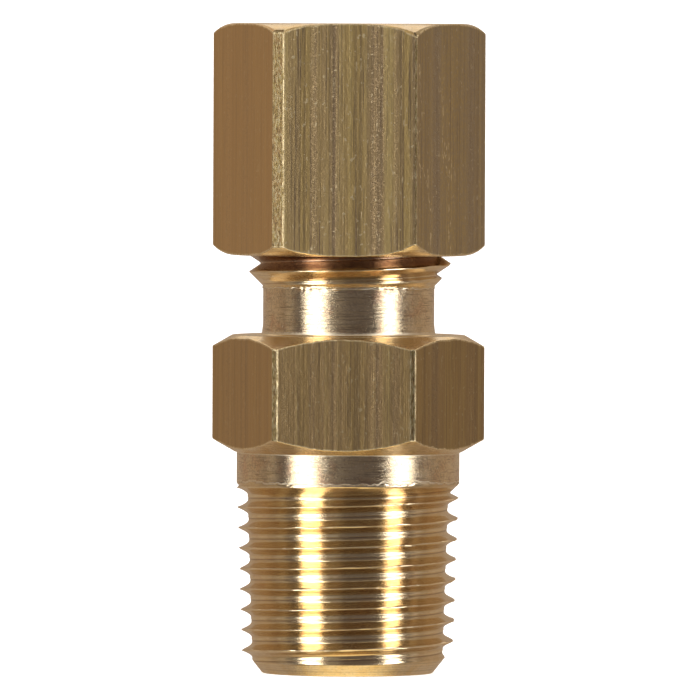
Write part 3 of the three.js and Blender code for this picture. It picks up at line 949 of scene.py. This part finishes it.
# The room is dark round the camera and lighter behind the fitting and straight below it.
ROOM_FRONT = (0.124, 0.107, 0.103)
ROOM_BACK = (0.40, 0.31, 0.23)
ROOM_BELOW = (1.2, 0.96, 0.55)
BACK_RAMP = (-0.38, 0.45)  # from in front to behind, as cosines of the angle from straight behind
BELOW_RAMP = (0.8, 0.97)  # and as cosines of the angle from straight down

COVE_RADIUS = 1000
COVE_BEND = COVE_RADIUS / 4
COVE_BEND_STEPS = 12
COVE_STEPS_AROUND = 96
COVE_GLOW = 0.55


def direction(azimuth, elevation):
    """Unit vector from the fitting. Azimuth is from the camera, positive to the camera's right."""
    turn = math.radians(azimuth + CAMERA_AZIMUTH)
    rise = math.radians(elevation)
    return Vector((math.sin(turn) * math.cos(rise), -math.cos(turn) * math.cos(rise), math.sin(rise)))


def centre():
    low, high = rest_bounds
    return (Vector(low) + Vector(high)) / 2


def add_camera():
    data = bpy.data.cameras.new("camera")
    data.lens = CAMERA_LENS
    data.sensor_width = CAMERA_SENSOR
    camera = bpy.data.objects.new("camera", data)
    bpy.context.scene.collection.objects.link(camera)
    across = Vector((math.cos(math.radians(CAMERA_AZIMUTH)), math.sin(math.radians(CAMERA_AZIMUTH)), 0))
    aim = (across * CAMERA_AIM[0] + Vector((0, 0, CAMERA_AIM[1]))) * MM
    place = direction(0, 0) * CAMERA_DISTANCE * MM + Vector((0, 0, NUT_TOP * MM))
    turn = (aim - place).to_track_quat("-Z", "Y").to_matrix().to_4x4()
    lean = Matrix.Rotation(math.radians(CAMERA_LEAN), 4, "Z")
    camera.matrix_world = Matrix.Translation(place) @ turn @ lean
    bpy.context.scene.camera = camera


def add_light(name, azimuth, elevation, width, height, radiance, colour):
    """A soft box that looks width by height degrees big from the fitting."""
    data = bpy.data.lights.new(name, "AREA")
    data.shape = "RECTANGLE"
    data.size = 2 * LIGHT_DISTANCE * MM * math.tan(math.radians(width / 2))
    data.size_y = 2 * LIGHT_DISTANCE * MM * math.tan(math.radians(height / 2))
    data.energy = radiance * math.pi * data.size * data.size_y
    data.color = colour
    light = bpy.data.objects.new(name, data)
    bpy.context.scene.collection.objects.link(light)
    out = direction(azimuth, elevation)
    turn = (-out).to_track_quat("-Z", "Y").to_matrix().to_4x4()
    light.matrix_world = Matrix.Translation(centre() + out * LIGHT_DISTANCE * MM) @ turn


def add_room():
    """Surroundings that the metal mirrors: dark in front, lighter behind and below."""
    world = bpy.data.worlds.new("room")
    world.use_nodes = True
    m = Nodes("room", world.node_tree)
    towards = m.add("ShaderNodeTexCoord", output=0)
    cosines = []
    for way in (direction(180, 0), (0, 0, -1)):
        cosines.append(m.add("ShaderNodeVectorMath", {0: towards, 1: way}, output=1, operation="DOT_PRODUCT"))
    colour = m.blend(m.remap(cosines[0], *BACK_RAMP), ROOM_FRONT, ROOM_BACK)
    colour = m.blend(m.remap(cosines[1], *BELOW_RAMP), colour, ROOM_BELOW)
    lit = m.add("ShaderNodeBackground", {"Color": colour, "Strength": 1.0})
    m.add("ShaderNodeOutputWorld", {"Surface": lit})
    bpy.context.scene.world = world


def add_cove():
    """A white floor that curves up into a wall all round, which the metal doesn't mirror."""
    m = Nodes("cove_white")
    shader = m.add("ShaderNodeBsdfPrincipled", {
        "Base Color": (0.85, 0.85, 0.85, 1), "Roughness": 0.9, "Emission Color": (1, 1, 1, 1),
        "Emission Strength": COVE_GLOW})
    m.add("ShaderNodeOutputMaterial", {"Surface": shader})
    outline = [(0, 0)]
    for step in range(COVE_BEND_STEPS + 1):
        turn = math.radians(90 * step / COVE_BEND_STEPS)
        radius = COVE_RADIUS - COVE_BEND + COVE_BEND * math.sin(turn)
        outline.append((radius, COVE_BEND - COVE_BEND * math.cos(turn)))
    outline.append((COVE_RADIUS, COVE_RADIUS))
    points, faces = [], []
    for radius, height in outline:
        for k in range(COVE_STEPS_AROUND):
            turn = 2 * math.pi * k / COVE_STEPS_AROUND
            points.append((radius * math.cos(turn) * MM, radius * math.sin(turn) * MM, height * MM))
    for row in range(len(outline) - 1):
        for k in range(COVE_STEPS_AROUND):
            low, high = row * COVE_STEPS_AROUND, (row + 1) * COVE_STEPS_AROUND
            following = (k + 1) % COVE_STEPS_AROUND
            faces.append((low + k, high + k, high + following, low + following))
    mesh = bpy.data.meshes.new("cove")
    mesh.from_pydata(points, [], faces)
    mesh.polygons.foreach_set("use_smooth", np.ones(len(faces), bool))
    mesh.materials.append(m.material)
    cove = bpy.data.objects.new("cove", mesh)
    cove.location.z = rest_bounds[0][2]
    cove.visible_glossy = False
    cove.visible_shadow = False
    bpy.context.scene.collection.objects.link(cove)


# ---- The scene ----

bpy.context.scene.view_settings.view_transform = "Standard"
add_camera()
add_room()
add_cove()
for light in LIGHTS:
    add_light(*light)

materials = finishes()
for make, body, node, slot in (
    (connector_skin, "connector", "connector_body", "body_brass"),
    (nut_skin, "nut", "compression_nut", "nut_brass"),
    (ferrule_skin, "sleeve", "ferrule", "ferrule_brass"),
):
    piece = make()
    for material in materials:
        piece.data.materials.append(material)
    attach(piece, body)
    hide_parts(node)
